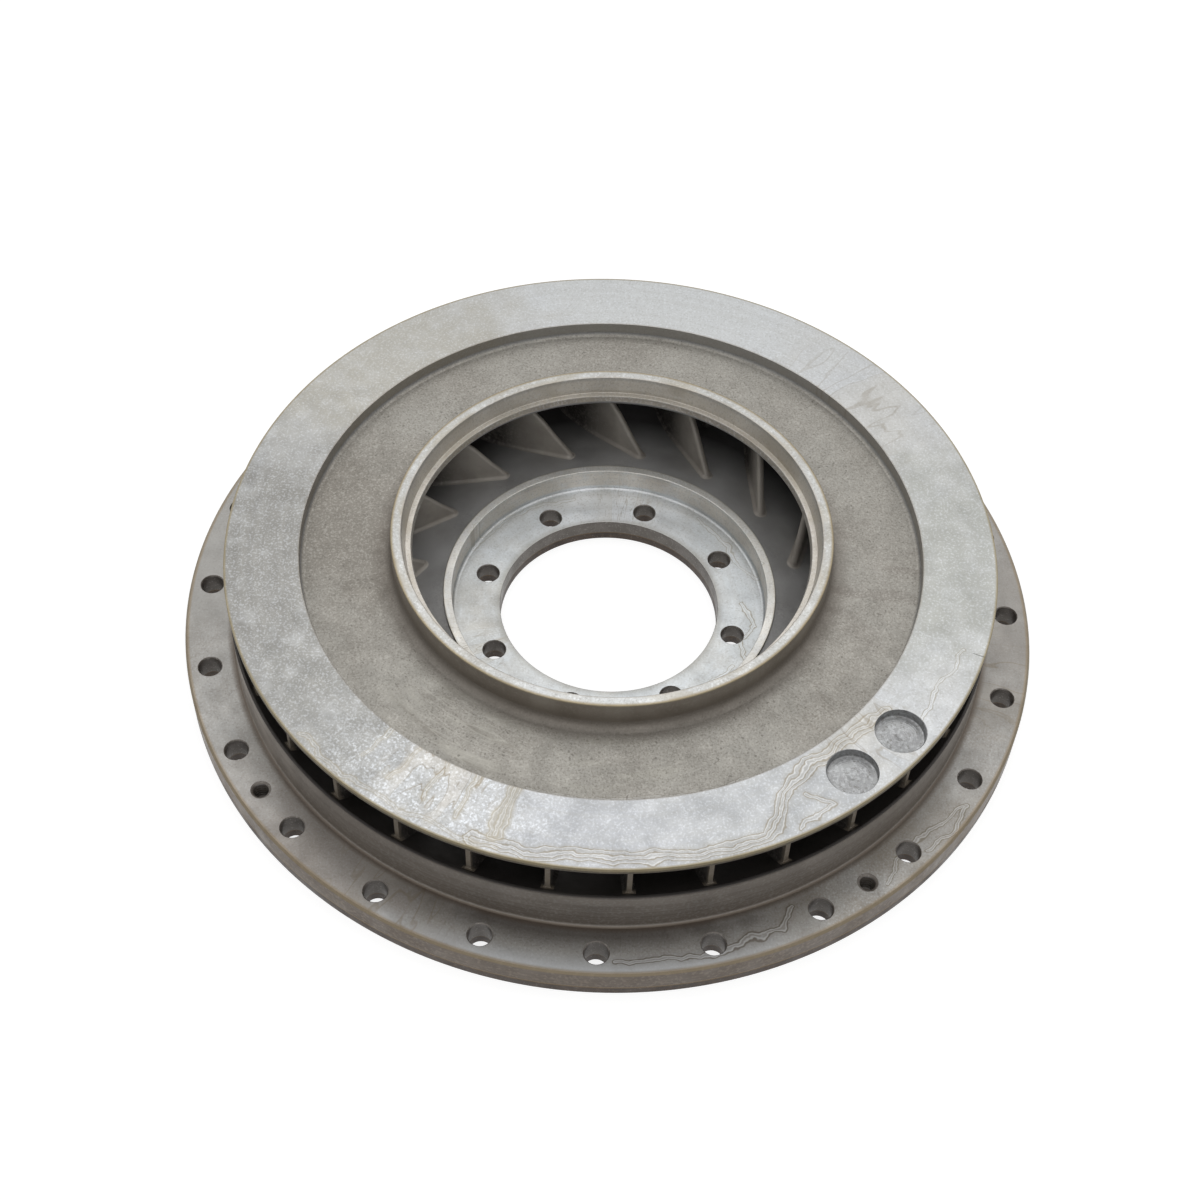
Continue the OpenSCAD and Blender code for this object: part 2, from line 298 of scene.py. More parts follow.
def tool(mesh, x, y, profile, tilt=(0.0, 0.0), segments=40):
    """Add a round cutting tool to a mesh: its profile runs up as (radius, height)."""
    rings = []
    for r, z in profile:
        ring = []
        for k in range(segments):
            a = 2 * math.pi * k / segments
            u, v = r * math.cos(a), r * math.sin(a)
            ring.append(mesh.verts.new((x + u, y + v, z + u * tilt[0] + v * tilt[1])))
        rings.append(ring)
    for lower, upper in zip(rings, rings[1:]):
        for k in range(segments):
            j = (k + 1) % segments
            mesh.faces.new((lower[k], lower[j], upper[j], upper[k]))
    mesh.faces.new(rings[0][::-1])
    mesh.faces.new(rings[-1])


def on_circle(radius, count, first):
    """Evenly spaced points round the spin axis, the first angle in degrees."""
    angles = [math.radians(first + i * 360 / count) for i in range(count)]
    return [(radius * math.cos(a), radius * math.sin(a)) for a in angles]


def through(radius, low, high, chamfer):
    """Profile of a drill that leaves a chamfer at the top of its hole."""
    return [(radius, low - MM), (radius, high - chamfer), (radius + chamfer + MM, high + MM)]


def tapped(radius, low, high, chamfer):
    """Profile of a tap: threads as rings. That the hole is tapped, and its pitch, are guesses."""
    pitch, depth = 1.6 * MM, 0.35 * MM
    profile = [(radius - depth, low - MM)]
    z = low + pitch / 2
    while z + pitch < high - chamfer:
        profile += [(radius - depth, z), (radius, z + pitch / 2)]
        z += pitch
    return profile + [(radius - depth, high - chamfer), (radius + chamfer, high),
                      (radius + chamfer + MM, high + MM)]


def piece(name, mesh, finishes, node, tools=None, chooser=None, smooth=35):
    """Turn a mesh into a finished piece, hide the CAD node that it stands in for, and attach it to the
    root body.
    """
    data = bpy.data.meshes.new(name)
    mesh.to_mesh(data)
    mesh.free()
    made = bpy.data.objects.new(name, data)
    bpy.context.scene.collection.objects.link(made)
    if tools is not None:
        cut_away(made, tools)
    for finish in finishes:
        made.data.materials.append(finish)
    if chooser is not None:
        for face in made.data.polygons:
            face.material_index = chooser(face)
    made.data.shade_smooth()
    made.data.set_sharp_from_angle(angle=math.radians(smooth))
    flat = made.modifiers.new("flat faces stay flat", "WEIGHTED_NORMAL")
    flat.keep_sharp = True
    flat.weight = 80
    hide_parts(node)
    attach(made, "root")
    return made


def cut_away(made, tools):
    """Cut the tools out of a piece and keep only the result."""
    bmesh.ops.recalc_face_normals(tools, faces=tools.faces)
    data = bpy.data.meshes.new("tools")
    tools.to_mesh(data)
    tools.free()
    cutter = bpy.data.objects.new("tools", data)
    bpy.context.scene.collection.objects.link(cutter)
    cut = made.modifiers.new("drilled", "BOOLEAN")
    cut.operation = "DIFFERENCE"
    cut.solver = "EXACT"
    cut.object = cutter
    bpy.context.view_layer.update()
    result = made.evaluated_get(bpy.context.evaluated_depsgraph_get())
    mesh = bpy.data.meshes.new_from_object(result)
    made.modifiers.clear()
    old = made.data
    made.data = mesh
    mesh.name = made.name
    bpy.data.objects.remove(cutter)
    bpy.data.meshes.remove(data)
    bpy.data.meshes.remove(old)


# ---------------------------------------------------------------- finishes

def add(tree, kind, settings=(), sockets=()):
    """Add a shader node, set its options, and fill its sockets with values or links."""
    node = tree.nodes.new("ShaderNode" + kind)
    for option, value in dict(settings).items():
        setattr(node, option, value)
    for socket, value in dict(sockets).items():
        if isinstance(value, bpy.types.NodeSocket):
            tree.links.new(value, node.inputs[socket])
        else:
            node.inputs[socket].default_value = value
    return node


def maths(tree, operation, *inputs):
    """Result of a sum on numbers."""
    return add(tree, "Math", {"operation": operation}, enumerate(inputs)).outputs[0]


def vector(tree, operation, *inputs):
    """Result of a sum on vectors: a vector, or the number that the operation gives."""
    outputs = add(tree, "VectorMath", {"operation": operation}, enumerate(inputs)).outputs
    return outputs["Value" if operation in ("LENGTH", "DISTANCE", "DOT_PRODUCT") else "Vector"]


def scaled(tree, value, factor):
    """A vector made longer by a factor."""
    return add(tree, "VectorMath", {"operation": "SCALE"}, {0: value, "Scale": factor}).outputs[0]


def ramp(tree, value, low, high, start=0.0, end=1.0):
    """Value that runs from start to end as another runs from low to high."""
    return add(tree, "MapRange", (), {"Value": value, "From Min": low, "From Max": high,
                                      "To Min": start, "To Max": end}).outputs[0]


# Patterns drawn out on the wheel: how many times longer they are round it and outward.
# Drips run outward and arcs run round; "lines" after a name gives its nested outlines.
DRAWN = {"drips": (1, 5), "arcs": (7, 1)}
# Radius in mm at which they have the size that is asked for.
DRAWN_R = 150
# How many nested outlines a pattern has over its full range.
OUTLINES = 11.0


def whereabouts(tree):
    """Where the surface lies: position, radius from the spin axis and height."""
    here = add(tree, "TexCoord").outputs["Object"]
    parts = add(tree, "SeparateXYZ", (), {0: here}).outputs
    level = add(tree, "CombineXYZ", (), {0: parts["X"], 1: parts["Y"]}).outputs[0]
    radius = vector(tree, "LENGTH", level)
    outward = vector(tree, "NORMALIZE", level)
    place = {"here": here, "level": level, "radius": radius, "height": parts["Z"],
             "turned": add(tree, "CombineXYZ", (), {0: radius, 1: parts["Z"]}).outputs[0]}
    for name, (round_it, out) in DRAWN.items():
        spun = scaled(tree, outward, DRAWN_R * MM / round_it)
        rise = add(tree, "CombineXYZ", (), {2: maths(tree, "DIVIDE", radius, out)}).outputs[0]
        place[name] = vector(tree, "ADD", spun, rise)
    return place


def pattern(tree, place, kind, size, seed):
    """Value of one pattern whose features are size metres across."""
    if kind in ("radius", "height"):
        return place[kind]
    if kind in ("foot", "nose"):
        return add(tree, "Attribute", {"attribute_name": kind}).outputs["Fac"]
    if kind == "turning":
        where = place["turned"]
    else:
        where = place.get(kind.split()[0], place["here"])
    detail = {"turning": 1.0, "speckle": 0.0}.get(kind, 3.0)
    value = add(tree, "TexNoise", {"noise_dimensions": "4D"},
                {"Vector": where, "W": seed * 7.3, "Scale": 1 / size, "Detail": detail}).outputs[0]
    if kind.endswith("lines"):
        part = maths(tree, "FRACT", maths(tree, "MULTIPLY", value, OUTLINES))
        value = maths(tree, "ABSOLUTE", maths(tree, "SUBTRACT", part, 0.5))
    return value


def patch(tree, place, x, y, reach):
    """Mask that is 1 near a spot of the wheel and fades out unevenly at its reach."""
    off = vector(tree, "DISTANCE", place["level"], (x * MM, y * MM, 0))
    rough = pattern(tree, place, "grain", 14 * MM, x)
    shift = maths(tree, "MULTIPLY_ADD", rough, reach * MM, off)
    return ramp(tree, shift, 1.5 * reach * MM, 0.9 * reach * MM)


def wandering(tree, place):
    """Place on the wheel, swayed so that straight lines drawn on it wander."""
    if "wander" in place:
        return place["wander"]
    here = place["level"]
    for size, sway in ((16, 9), (4, 2.4)):
        wander = add(tree, "TexNoise", {}, {"Vector": place["level"], "Scale": 1 / (size * MM),
                                            "Detail": 1.0}).outputs["Color"]
        off = vector(tree, "MULTIPLY_ADD", wander, (sway * MM,) * 3, here)
        here = vector(tree, "SUBTRACT", off, (sway / 2 * MM,) * 3)
    place["wander"] = vector(tree, "MULTIPLY", here, (1, 1, 0))
    return place["wander"]


def trail(tree, place, points):
    """Distance from a wandering line drawn over the wheel through points in mm."""
    if points in place:
        return place[points]
    here = wandering(tree, place)
    nearest = None
    for start, end in zip(points, points[1:]):
        along = Vector((end[0] - start[0], end[1] - start[1], 0)) * MM
        off = vector(tree, "SUBTRACT", here, (start[0] * MM, start[1] * MM, 0))
        share = vector(tree, "DOT_PRODUCT", off, along / along.length_squared)
        share = add(tree, "Clamp", (), {"Value": share}).outputs[0]
        gap = vector(tree, "DISTANCE", off, scaled(tree, along, share))
        nearest = gap if nearest is None else maths(tree, "MINIMUM", nearest, gap)
    place[points] = nearest
    return nearest


def across(inner, outer, *stops):
    """Points of a trail over a face between two radii. Each stop is an angle in degrees
    round the wheel and a share of the face's width; from stop to stop it keeps to an arc."""
    points = []
    for (start, low), (end, high) in zip(stops, stops[1:]):
        steps = max(1, round(abs(end - start) / ARC_STEP))
        for step in range(steps + 1):
            part = step / steps
            turn = math.radians(start + (end - start) * part)
            radius = (inner + (outer - inner) * (low + (high - low) * part)) / MM
            point = (radius * math.cos(turn), radius * math.sin(turn))
            if not points or step:
                points.append(point)
    return tuple(points)


def ring_trail(*stops):
    """Trail over the front ring."""
    return across(sizes().wall_r - sizes().ring_w, sizes().wall_r, *stops)


def hub_trail(*stops):
    """Trail over the hub floor."""
    return across(sizes().bore_r, sizes().lip_r - sizes().lip_w, *stops)


def flange_trail(*stops):
    """Trail over the flange."""
    return across(sizes().wall_r, sizes().flange_r, *stops)


def recess_trail(*stops):
    """Trail over the cast recess."""
    return across(sizes().rim_r, sizes().wall_r - sizes().ring_w, *stops)


def nested(tree, distance, spacing, count, share):
    """How near a point is to one of the lines that run beside a trail, 0 being on it;
    each line lies at that share of the spacing."""
    turns = maths(tree, "DIVIDE", distance, spacing * MM)
    off = maths(tree, "SUBTRACT", maths(tree, "FRACT", turns), share)
    beyond = maths(tree, "GREATER_THAN", turns, count)
    return maths(tree, "ADD", maths(tree, "ABSOLUTE", off), beyond)


def tint(kind, size, low, high, code, strength, near=None, seed=0, points=None, lines=None):
    """A colour laid on where a pattern runs from low to high: the pattern's size in mm,
    and the middle and reach in mm of the patch that it keeps to. A trail has points, and
    the spacing, number and share of the lines beside it."""
    return {"kind": kind, "size": size, "low": low, "high": high, "code": code,
            "strength": strength, "near": near, "seed": seed, "points": points, "lines": lines}


def grained(size, light, light_strength, dark, dark_strength):
    """Fine light and dark specks of a turned face."""
    return [tint("grain", size, 0.5, 0.66, light, light_strength),
            tint("grain", 0.9, 0.48, 0.34, dark, dark_strength)]


def run(points, spacing, count, code, strength, film=0.0):
    """Lines left where fluid ran along a trail, and the film that dried between them."""
    return [tint("trail", 1, (count + 0.5) * spacing, (count - 0.5) * spacing, code, film,
                 points=points),
            tint("trail", 1, 0.17, 0.06, "#eef0f1", 0.42 * strength, points=points,
                 lines=(spacing, count, 0.28)),
            tint("trail", 1, 0.19, 0.06, code, strength, points=points,
                 lines=(spacing, count, 0.5))]


def band(kind, low, high, code, strength, near=None):
    """A colour laid on from one radius or height in mm, or share of a vane, to another."""
    return tint(kind, 1, low, high, code, strength, near)


def clouds(size, code, strength):
    """Soft clouds of a colour over the whole piece."""
    return tint("grain", size, 0.42, 0.62, code, strength)


def everywhere(code, strength, near):
    """A colour laid on a whole patch: every radius is past the band's top."""
    return band("radius", -2, -1, code, strength, near)


def measured(tree, place, layer, seed):
    """Value of the pattern or trail that a tint follows."""
    if layer["kind"] != "trail":
        return pattern(tree, place, layer["kind"], layer["size"] * MM, layer["seed"] or seed)
    value = trail(tree, place, layer["points"])
    return nested(tree, value, *layer["lines"]) if layer["lines"] else value


def finish(name, base, layers, relief, roughness, metallic=1.0, uneven=0.1, brushed=0.0):
    """Material built from a base colour, tints laid over it in turn, and a fine relief,
    given as (kind, size in mm, depth in mm)."""
    known = bpy.data.materials.get(name)
    if known:
        return known
    made = bpy.data.materials.new(name)
    made.use_nodes = True
    tree = made.node_tree
    shader = tree.nodes["Principled BSDF"]
    place = whereabouts(tree)
    shade = add(tree, "RGB").outputs[0]
    shade.default_value = [*base, 1]
    for number, layer in enumerate(layers):
        value = measured(tree, place, layer, number + len(name))
        in_mm = layer["kind"] in ("radius", "height", "trail") and not layer["lines"]
        scale = MM if in_mm else 1
        mask = ramp(tree, value, layer["low"] * scale, layer["high"] * scale,
                    end=layer["strength"])
        if layer["near"]:
            mask = maths(tree, "MULTIPLY", mask, patch(tree, place, *layer["near"]))
        shade = add(tree, "Mix", {"data_type": "RGBA"},
                    {0: mask, 6: shade, 7: linear(layer["code"])}).outputs[2]
    height = None
    for number, (kind, size, depth) in enumerate(relief):
        value = pattern(tree, place, kind, size * MM, number + 31)
        height = maths(tree, "MULTIPLY_ADD", value, depth * MM, 0.0 if height is None else height)
    cloud = pattern(tree, place, "grain", 9 * MM, 5)
    gloss = ramp(tree, cloud, 0.3, 0.7, roughness - uneven, roughness + uneven)
    bump = add(tree, "Bump", (), {"Height": height, "Distance": 1.0}).outputs[0]
    tree.links.new(shade, shader.inputs["Base Color"])
    tree.links.new(gloss, shader.inputs["Roughness"])
    tree.links.new(bump, shader.inputs["Normal"])
    shader.inputs["Metallic"].default_value = metallic
    if brushed:
        shader.inputs["Anisotropic"].default_value = brushed
        tangent = add(tree, "Tangent", {"direction_type": "RADIAL", "axis": "Z"}).outputs[0]
        tree.links.new(tangent, shader.inputs["Tangent"])
    return made


# Outline that a dried stain leaves.
STAIN = "#7f725c"


def dried(spot, size, seed, strength=0.6, film="#b5ad9c"):
    """Fluid that ran outward and dried: a tan film between thin darker outlines."""
    return [tint("drips", size, 0.49, 0.52, film, 0.5 * strength, spot, seed),
            tint("drips lines", size, 0.075, 0.02, STAIN, strength, spot, seed)]


def streaks(count, first, spacing):
    """Streaks straight out over the front ring, from its inner edge: side by side by a
    spacing in degrees, each shorter, finer and fainter than the last."""
    layers = []
    for i in range(count):
        turn = first + spacing * i
        line_spacing, lines, film = 1.9 - 0.12 * i, 2 if i == 0 else 1, 0.5 - 0.08 * i
        layers += run(ring_trail((turn, 0.0), (turn, 0.7 - 0.03 * i)),
                      line_spacing, lines, "#9d9583", 0.5, film)
    return layers


def turned_face():
    """Face-turned aluminium, washed: pale and slightly blue, with faint rings from the tool,
    cloudy water marks and thin tan outlines where fluid has dried. Patches of painted light
    and shade vary it round the ring, and bright specks at the lower left are painted glints."""
    return finish(
        "turned aluminium", looks().ring,
        [clouds(45, "#bcbab4", 0.4), tint("grain", 11, 0.5, 0.68, "#d3d5d6", 0.35),
         # Painted light and shade: a little lighter at the back, darker to the upper left, left, lower
         # left, right, lower right and front.
         everywhere("#c4c6c6", 0.75, (20, 165, 100)), everywhere("#a8a499", 0.8, (-115, 110, 95)),
         everywhere("#7f7d78", 0.88, (-160, -20, 110)), everywhere("#878682", 0.85, (-112, -102, 62)),
         everywhere("#a0a19b", 0.85, (155, -5, 90)), everywhere("#a5a7a9", 0.8, (75, -145, 75)),
         everywhere("#a7a9ad", 0.8, (-10, -160, 60)), tint("grain", 9, 0.5, 0.66, "#d0d2d4", 0.2),
         tint("turning", 1.6, 0.3, 0.75, "#aaa9a4", 0.25),
         *grained(1.0, "#e3e7ec", 0.3, "#9b9a96", 0.35),
         # Painted glints: bright bluish specks at the lower left.
         tint("grain", 1.2, 0.52, 0.62, "#e9eef4", 0.5, (-65, -132, 60)),
         tint("grain", 1.1, 0.48, 0.38, "#83817c", 0.35, (-75, -125, 55)),
         *run(ring_trail((-38, 0.25), (-49, 0.2), (-58, 0.25), (-67, 0.85), (-108, 0.85)),
              2.0, 2, "#867d6b", 0.65, 0.25),
         *run(ring_trail((-104, 0.9), (-138, 0.9)), 1.7, 1, "#958c78", 0.4, 0.2),
         *run(ring_trail((-37, 0.75), (-30, 0.6), (-20, 0.75)), 1.6, 1, "#8d8573", 0.6),
         *run(ring_trail((-58, 0.5), (-55, 0.8), (-59, 0.9), (-62, 0.85)), 2.0, 1, "#8a816f", 0.6, 0.2),
         *streaks(5, -105, -6),
         *dried((112, -105, 30), 17, 3, 0.35), *dried((118, 95, 50), 24, 8, 0.3),
         *dried((-66, -135, 30), 13, 11, 0.5, "#c9bfae"),
         band("radius", 173.7, 174.4, "#8f8365", 0.75), band("radius", 142.2, 141.7, "#857d72", 0.5)],
        [("turning", 0.9, 0.010), ("grain", 1.1, 0.015), ("grain", 18, 0.05)],
        roughness=0.42, metallic=0.6, brushed=0.4)


def turned_hub():
    """Turned aluminium of the hub: as the front face, with browner clouds, and painted light
    on the far side of the floor and on the lip.
    """
    return finish(
        "turned aluminium, hub", looks().hub,
        # The first patch darkens the left of the floor; the second is painted light on the far side of
        # the floor.
        [everywhere("#b0afaa", 0.6, (-66, -5, 32)), everywhere("#f2f6fa", 0.85, (0, 64, 44)),
         # Painted light: the hub lip's wall and top are lightened.
         band("height", 13.4, 15, "#ded6ca", 0.9),
         band("height", 22.6, 23.6, "#d2d0ca", 0.85),
         clouds(22, "#b3b1ab", 0.4), tint("grain", 8, 0.5, 0.68, "#cfd4d8", 0.4),
         tint("turning", 1.4, 0.3, 0.75, "#b1afaa", 0.25),
         *grained(1.0, "#dfe4e8", 0.25, "#8d8a84", 0.3),
         *run(hub_trail((2, 0.5), (-8, 0.85), (-16, 0.6), (-26, 0.95)), 1.8, 1, "#857d6a", 0.65, 0.15),
         *run(hub_trail((-30, 0.7), (-41, 0.6), (-55, 0.7)), 1.6, 1, "#8c8471", 0.55),
         *run(hub_trail((14, 0.95), (23, 0.7), (36, 0.75), (55, 0.85)), 1.8, 1, "#8f8775", 0.5),
         *run(hub_trail((156, 0.95), (107, 0.8)), 1.7, 1, "#97907f", 0.4),
         *dried((-58, -30, 18), 12, 9, 0.5), *dried((5, 60, 18), 11, 14, 0.45),
         band("radius", 76.9, 77.6, "#8f8672", 0.5), band("radius", 55, 51.8, "#8a857a", 0.5)],
        [("turning", 0.8, 0.012), ("grain", 1.1, 0.015), ("grain", 14, 0.05)],
        roughness=0.42, metallic=0.6, brushed=0.3)


def turned_rim_face():
    """Turned aluminium of the inlet rim: pale on top, greyer in the seat, with a bright
    edge on the land below it; painted light lightens the seat and painted shade darkens
    the rim below the land."""
    return finish(
        "turned aluminium, rim", looks().rim,
        # Painted light lightens the seat and the face below the rim's flat top; painted shade darkens the
        # rim from below the land's bright edge downward.
        [band("height", 66.8, 65.5, "#dcd8ce", 0.9), band("height", 62.5, 59.6, "#e4e0d8", 0.6),
         band("height", 59.3, 59.0, "#c9c7c2", 0.9), band("height", 58.7, 58.3, "#716d68", 0.9),
         everywhere("#cfd2d4", 0.5, (0, -98, 60)),
         clouds(16, "#a4a19a", 0.4), *grained(1.2, "#dfe2e4", 0.45, "#85817a", 0.4),
         tint("arcs", 5, 0.52, 0.64, "#a69d89", 0.4),
         band("radius", 98.4, 99.6, "#8f8060", 0.85), band("radius", 96.3, 95.6, "#a2988a", 0.4)],
        [("turning", 0.8, 0.012), ("grain", 1.3, 0.02)], roughness=0.42, metallic=0.6, brushed=0.3)


def turned_flange():
    """Face-turned aluminium that has lain in oil: greyer than the front face, browner
    to the right, with ripples of dried oil along its edge, and painted shade at the foot of
    the wall, deepest at the front."""
    return finish(
        "turned aluminium, oil-stained", looks().flange,
        [clouds(30, "#8f8a83", 0.5), tint("grain", 9, 0.5, 0.7, "#b3b4b3", 0.3),
         tint("turning", 1.3, 0.3, 0.75, "#96928c", 0.35),
         *grained(1.0, "#c6c8c9", 0.35, "#77726b", 0.35),
         everywhere("#8b8179", 0.45, (-115, -150, 75)),
         everywhere("#9b9995", 0.6, (-190, 10, 60)), everywhere("#8f8a84", 0.6, (185, 0, 80)),
         # Painted shade at the front, darker next to the foot of the wall; lighter and bluer towards the
         # flange's outer edge there.
         band("radius", 188, 180, "#4a423c", 0.7, (0, -185, 100)),
         band("radius", 188, 195, "#bfc2c5", 0.6, (0, -190, 110)),
         tint("grain", 25, 0.35, 0.6, "#80735f", 0.5, (125, -145, 60)),
         *run(flange_trail((-63, 0.25), (-66, 0.65), (-88, 0.8)), 2.2, 1,
              "#62574a", 0.7, 0.2),
         *run(flange_trail((-51, 0.75), (-44, 0.4), (-34, 0.75), (-37, 0.9), (-43, 0.75)), 2.0, 1,
              "#6f6553", 0.6, 0.15),
         *dried((-90, -170, 40), 18, 12, 0.4, "#a09a90"), *dried((182, -40, 36), 20, 7, 0.4, "#9c978c"),
         tint("grain", 1.0, 0.52, 0.64, "#d3d5d6", 0.35, (112, -155, 30)),
         # A tan band at the outer edge; painted shade darkens the flange at the foot of the wall.
         band("radius", 195.6, 196.6, "#8d7c62", 0.7), band("radius", 178.6, 176.6, "#5f5245", 0.7)],
        [("turning", 0.8, 0.012), ("grain", 1.1, 0.015), ("grain", 18, 0.05)],
        roughness=0.43, metallic=0.5, brushed=0.3)


def ring_rim():
    """Turned edge darkened by oil: a narrow band of golden tan."""
    return finish(
        "turned aluminium, tarnished edge", linear("#564d3b")[:3],
        [tint("grain", 8, 0.45, 0.6, "#857a60", 0.5), tint("turning", 0.8, 0.4, 0.7, "#544b3b", 0.5),
         band("height", 58.25, 58.6, "#a89a78", 0.75), tint("speckle", 0.8, 0.6, 0.8, "#a9a392", 0.3)],
        [("turning", 0.6, 0.02), ("grain", 2, 0.02)], roughness=0.5, metallic=0.1)


def shaded_flange_rim():
    """Turned edge of the flange: dark brown, a painted shade, golden where the corners
    are rubbed."""
    return finish(
        "turned aluminium, browned edge", linear("#776b5e")[:3],
        [tint("grain", 12, 0.42, 0.6, "#66594d", 0.7), tint("turning", 0.8, 0.4, 0.7, "#574b41", 0.5),
         tint("grain", 1.5, 0.5, 0.64, "#938779", 0.5),
         band("height", 13.7, 14.2, "#998b70", 0.65), band("height", 5.3, 4.9, "#94805f", 0.6)],
        [("turning", 0.6, 0.02), ("grain", 2, 0.02)], roughness=0.45, metallic=0.25)


def sand_casting():
    """Sand-cast aluminium, brushed clean: brown-grey, with the sand's grain as fine
    light and dark specks and a few pale scuffs where it was handled, and painted shade
    towards the foot of the inlet rim."""
    return finish(
        "sand-cast aluminium", looks().cast,
        [tint("grain", 30, 0.4, 0.62, "#948f87", 0.5), everywhere("#857f76", 0.65, (-120, 5, 70)),
         tint("arcs", 7, 0.5, 0.6, "#aeaba1", 0.5, (10, -125, 34)),
         tint("drips", 9, 0.52, 0.62, "#87817a", 0.6, (112, 0, 55)),
         tint("drips lines", 16, 0.10, 0.02, "#7f786e", 0.35, (90, -75, 40)),
         *run(recess_trail((-103, 0.9), (-64, 0.9)), 1.8, 1, "#7d766c", 0.5),
         tint("grain", 1.0, 0.48, 0.66, "#bcb9b1", 0.55), tint("grain", 0.9, 0.5, 0.34, "#77726a", 0.55),
         tint("arcs", 7, 0.48, 0.58, "#b1aea5", 0.55, (-62, -103, 44)),
         tint("arcs", 5, 0.56, 0.64, "#868178", 0.5, (-58, -105, 44)),
         tint("arcs lines", 12, 0.12, 0.02, "#bcb9b0", 0.45, (-60, -104, 44)),
         tint("speckle", 1.4, 0.74, 0.80, "#5f5a53", 0.5),
         band("radius", 140.6, 141.4, "#8d9299", 0.5),
         # Painted shade: darker towards the foot of the inlet rim.
         band("radius", 110, 101, "#6f675e", 0.75)],
        [("grain", 1.0, 0.10), ("grain", 4, 0.10), ("grain", 18, 0.25)],
        roughness=0.55, metallic=0.45)


def cast_back():
    """The back of the casting: sand-cast skin, duller and browner than the recess."""
    return finish(
        "sand-cast aluminium, back", linear("#938f88")[:3],
        [tint("grain", 30, 0.4, 0.62, "#827d75", 0.6), tint("grain", 1.3, 0.48, 0.66, "#aeaaa3", 0.6),
         tint("grain", 1.0, 0.5, 0.34, "#6d6861", 0.6), *dried((60, -80, 90), 26, 4, 0.35, "#857e73")],
        [("grain", 1.2, 0.14), ("grain", 4, 0.12), ("grain", 18, 0.25)],
        roughness=0.58, metallic=0.4)


def cast_passage():
    """As-cast aluminium from a ceramic core: smooth, with painted shade that darkens it
    towards the depth of the passages."""
    return finish(
        "core-cast aluminium, oiled", looks().passage,
        # Painted shade: near black from just outside the eye outward, easing to dark brown towards the
        # outlet.
        [tint("grain", 26, 0.4, 0.65, "#7b7976", 0.5), band("radius", 97, 116, "#242120", 0.94),
         band("radius", 135, 165, "#47423e", 0.6),
         tint("grain", 1.2, 0.5, 0.66, "#c6c5c2", 0.5, (0, 0, 90)),
         tint("grain", 1.0, 0.5, 0.36, "#6b6866", 0.5, (0, 0, 90)),
         tint("arcs", 3, 0.54, 0.66, "#c3c0bc", 0.45, (0, 0, 90)),
         tint("speckle", 1.2, 0.64, 0.8, "#b0ada8", 0.45, (0, 0, 85))],
        [("grain", 1.2, 0.05), ("grain", 8, 0.12)], roughness=0.5, metallic=0.35)


def cast_vane():
    """As-cast aluminium of the vanes: brown-grey; painted shade darkens the nose and the
    fillet at the foot, and makes the vane near black in the depth, easing to mid brown at
    the outlet edge."""
    return finish(
        "core-cast aluminium, vane", looks().vane,
        [tint("grain", 14, 0.4, 0.65, "#857e75", 0.5),
         # Painted shade on the foot fillet and along the nose.
         band("foot", 0.2, 1.0, "#8f8a83", 0.3), band("nose", 0.3, 0.9, "#7b756e", 0.55),
         # Painted shade in the depth, easing to mid brown at the outlet.
         band("radius", 96, 112, "#241f1d", 0.93), band("radius", 169, 171, "#7d7365", 0.9),
         tint("grain", 1.2, 0.5, 0.7, "#a5a19a", 0.25), tint("grain", 4, 0.52, 0.7, "#8c867e", 0.3)],
        [("grain", 1.2, 0.06), ("grain", 6, 0.12)], roughness=0.58, metallic=0.15)


def oiled_and_shaded_wall():
    """Turned aluminium under an oil film: brown-grey with fine rings round it, paler near the
    top, darker towards the foot, lightened on the left by painted light, with a painted
    highlight on the foot fillet and painted shade in the corner below it."""
    return finish(
        "turned aluminium, oil film", looks().wall,
        # Darker towards the foot; the patch on the left is painted light.
        [band("height", 31, 20, "#635950", 0.65), everywhere("#d0c7bc", 0.65, (-165, -40, 80)),
         clouds(24, "#777069", 0.5),
         tint("turning", 0.9, 0.35, 0.7, "#a39c95", 0.45), tint("turning", 2.2, 0.5, 0.7, "#635a52", 0.4),
         tint("grain", 1.4, 0.5, 0.64, "#a8a29b", 0.4),
         band("height", 36.4, 37.6, "#5b524b", 0.7),
         # Painted highlight on the foot fillet, and painted shade in the corner below it.
         band("height", 16.7, 16.1, "#b5b0a8", 0.45), band("height", 15.7, 15.2, "#57493a", 0.8)],
        [("turning", 0.7, 0.03), ("grain", 2, 0.02)], roughness=0.42, metallic=0.3)


def dark_rim_wall():
    """Outside of the inlet rim: the casting's skin, browned by oil and darkened by painted shade, most
    towards its foot.
    """
    return finish(
        "cast aluminium, browned", linear("#8a8278")[:3],
        [clouds(16, "#746c62", 0.6), tint("grain", 1.2, 0.5, 0.7, "#a09a90", 0.4),
         tint("arcs", 4, 0.5, 0.64, "#a39c91", 0.5),
         # A golden line at the top edge; painted shade darkens the lower part towards the recess.
         band("height", 66.6, 67.3, "#a3977e", 0.6), band("height", 64, 58, "#665d53", 0.6)],
        [("grain", 1.1, 0.06), ("turning", 1.1, 0.02)], roughness=0.5, metallic=0.25)


def drilled_wall():
    """Drilled and bored aluminium: grey-brown with rings from the drill."""
    return finish(
        "drilled aluminium", linear("#77716b")[:3],
        [tint("grain", 5, 0.4, 0.6, "#625c55", 0.6), tint("speckle", 0.8, 0.6, 0.8, "#aaa6a0", 0.5)],
        [("grain", 0.8, 0.02)], roughness=0.42, metallic=0.35)


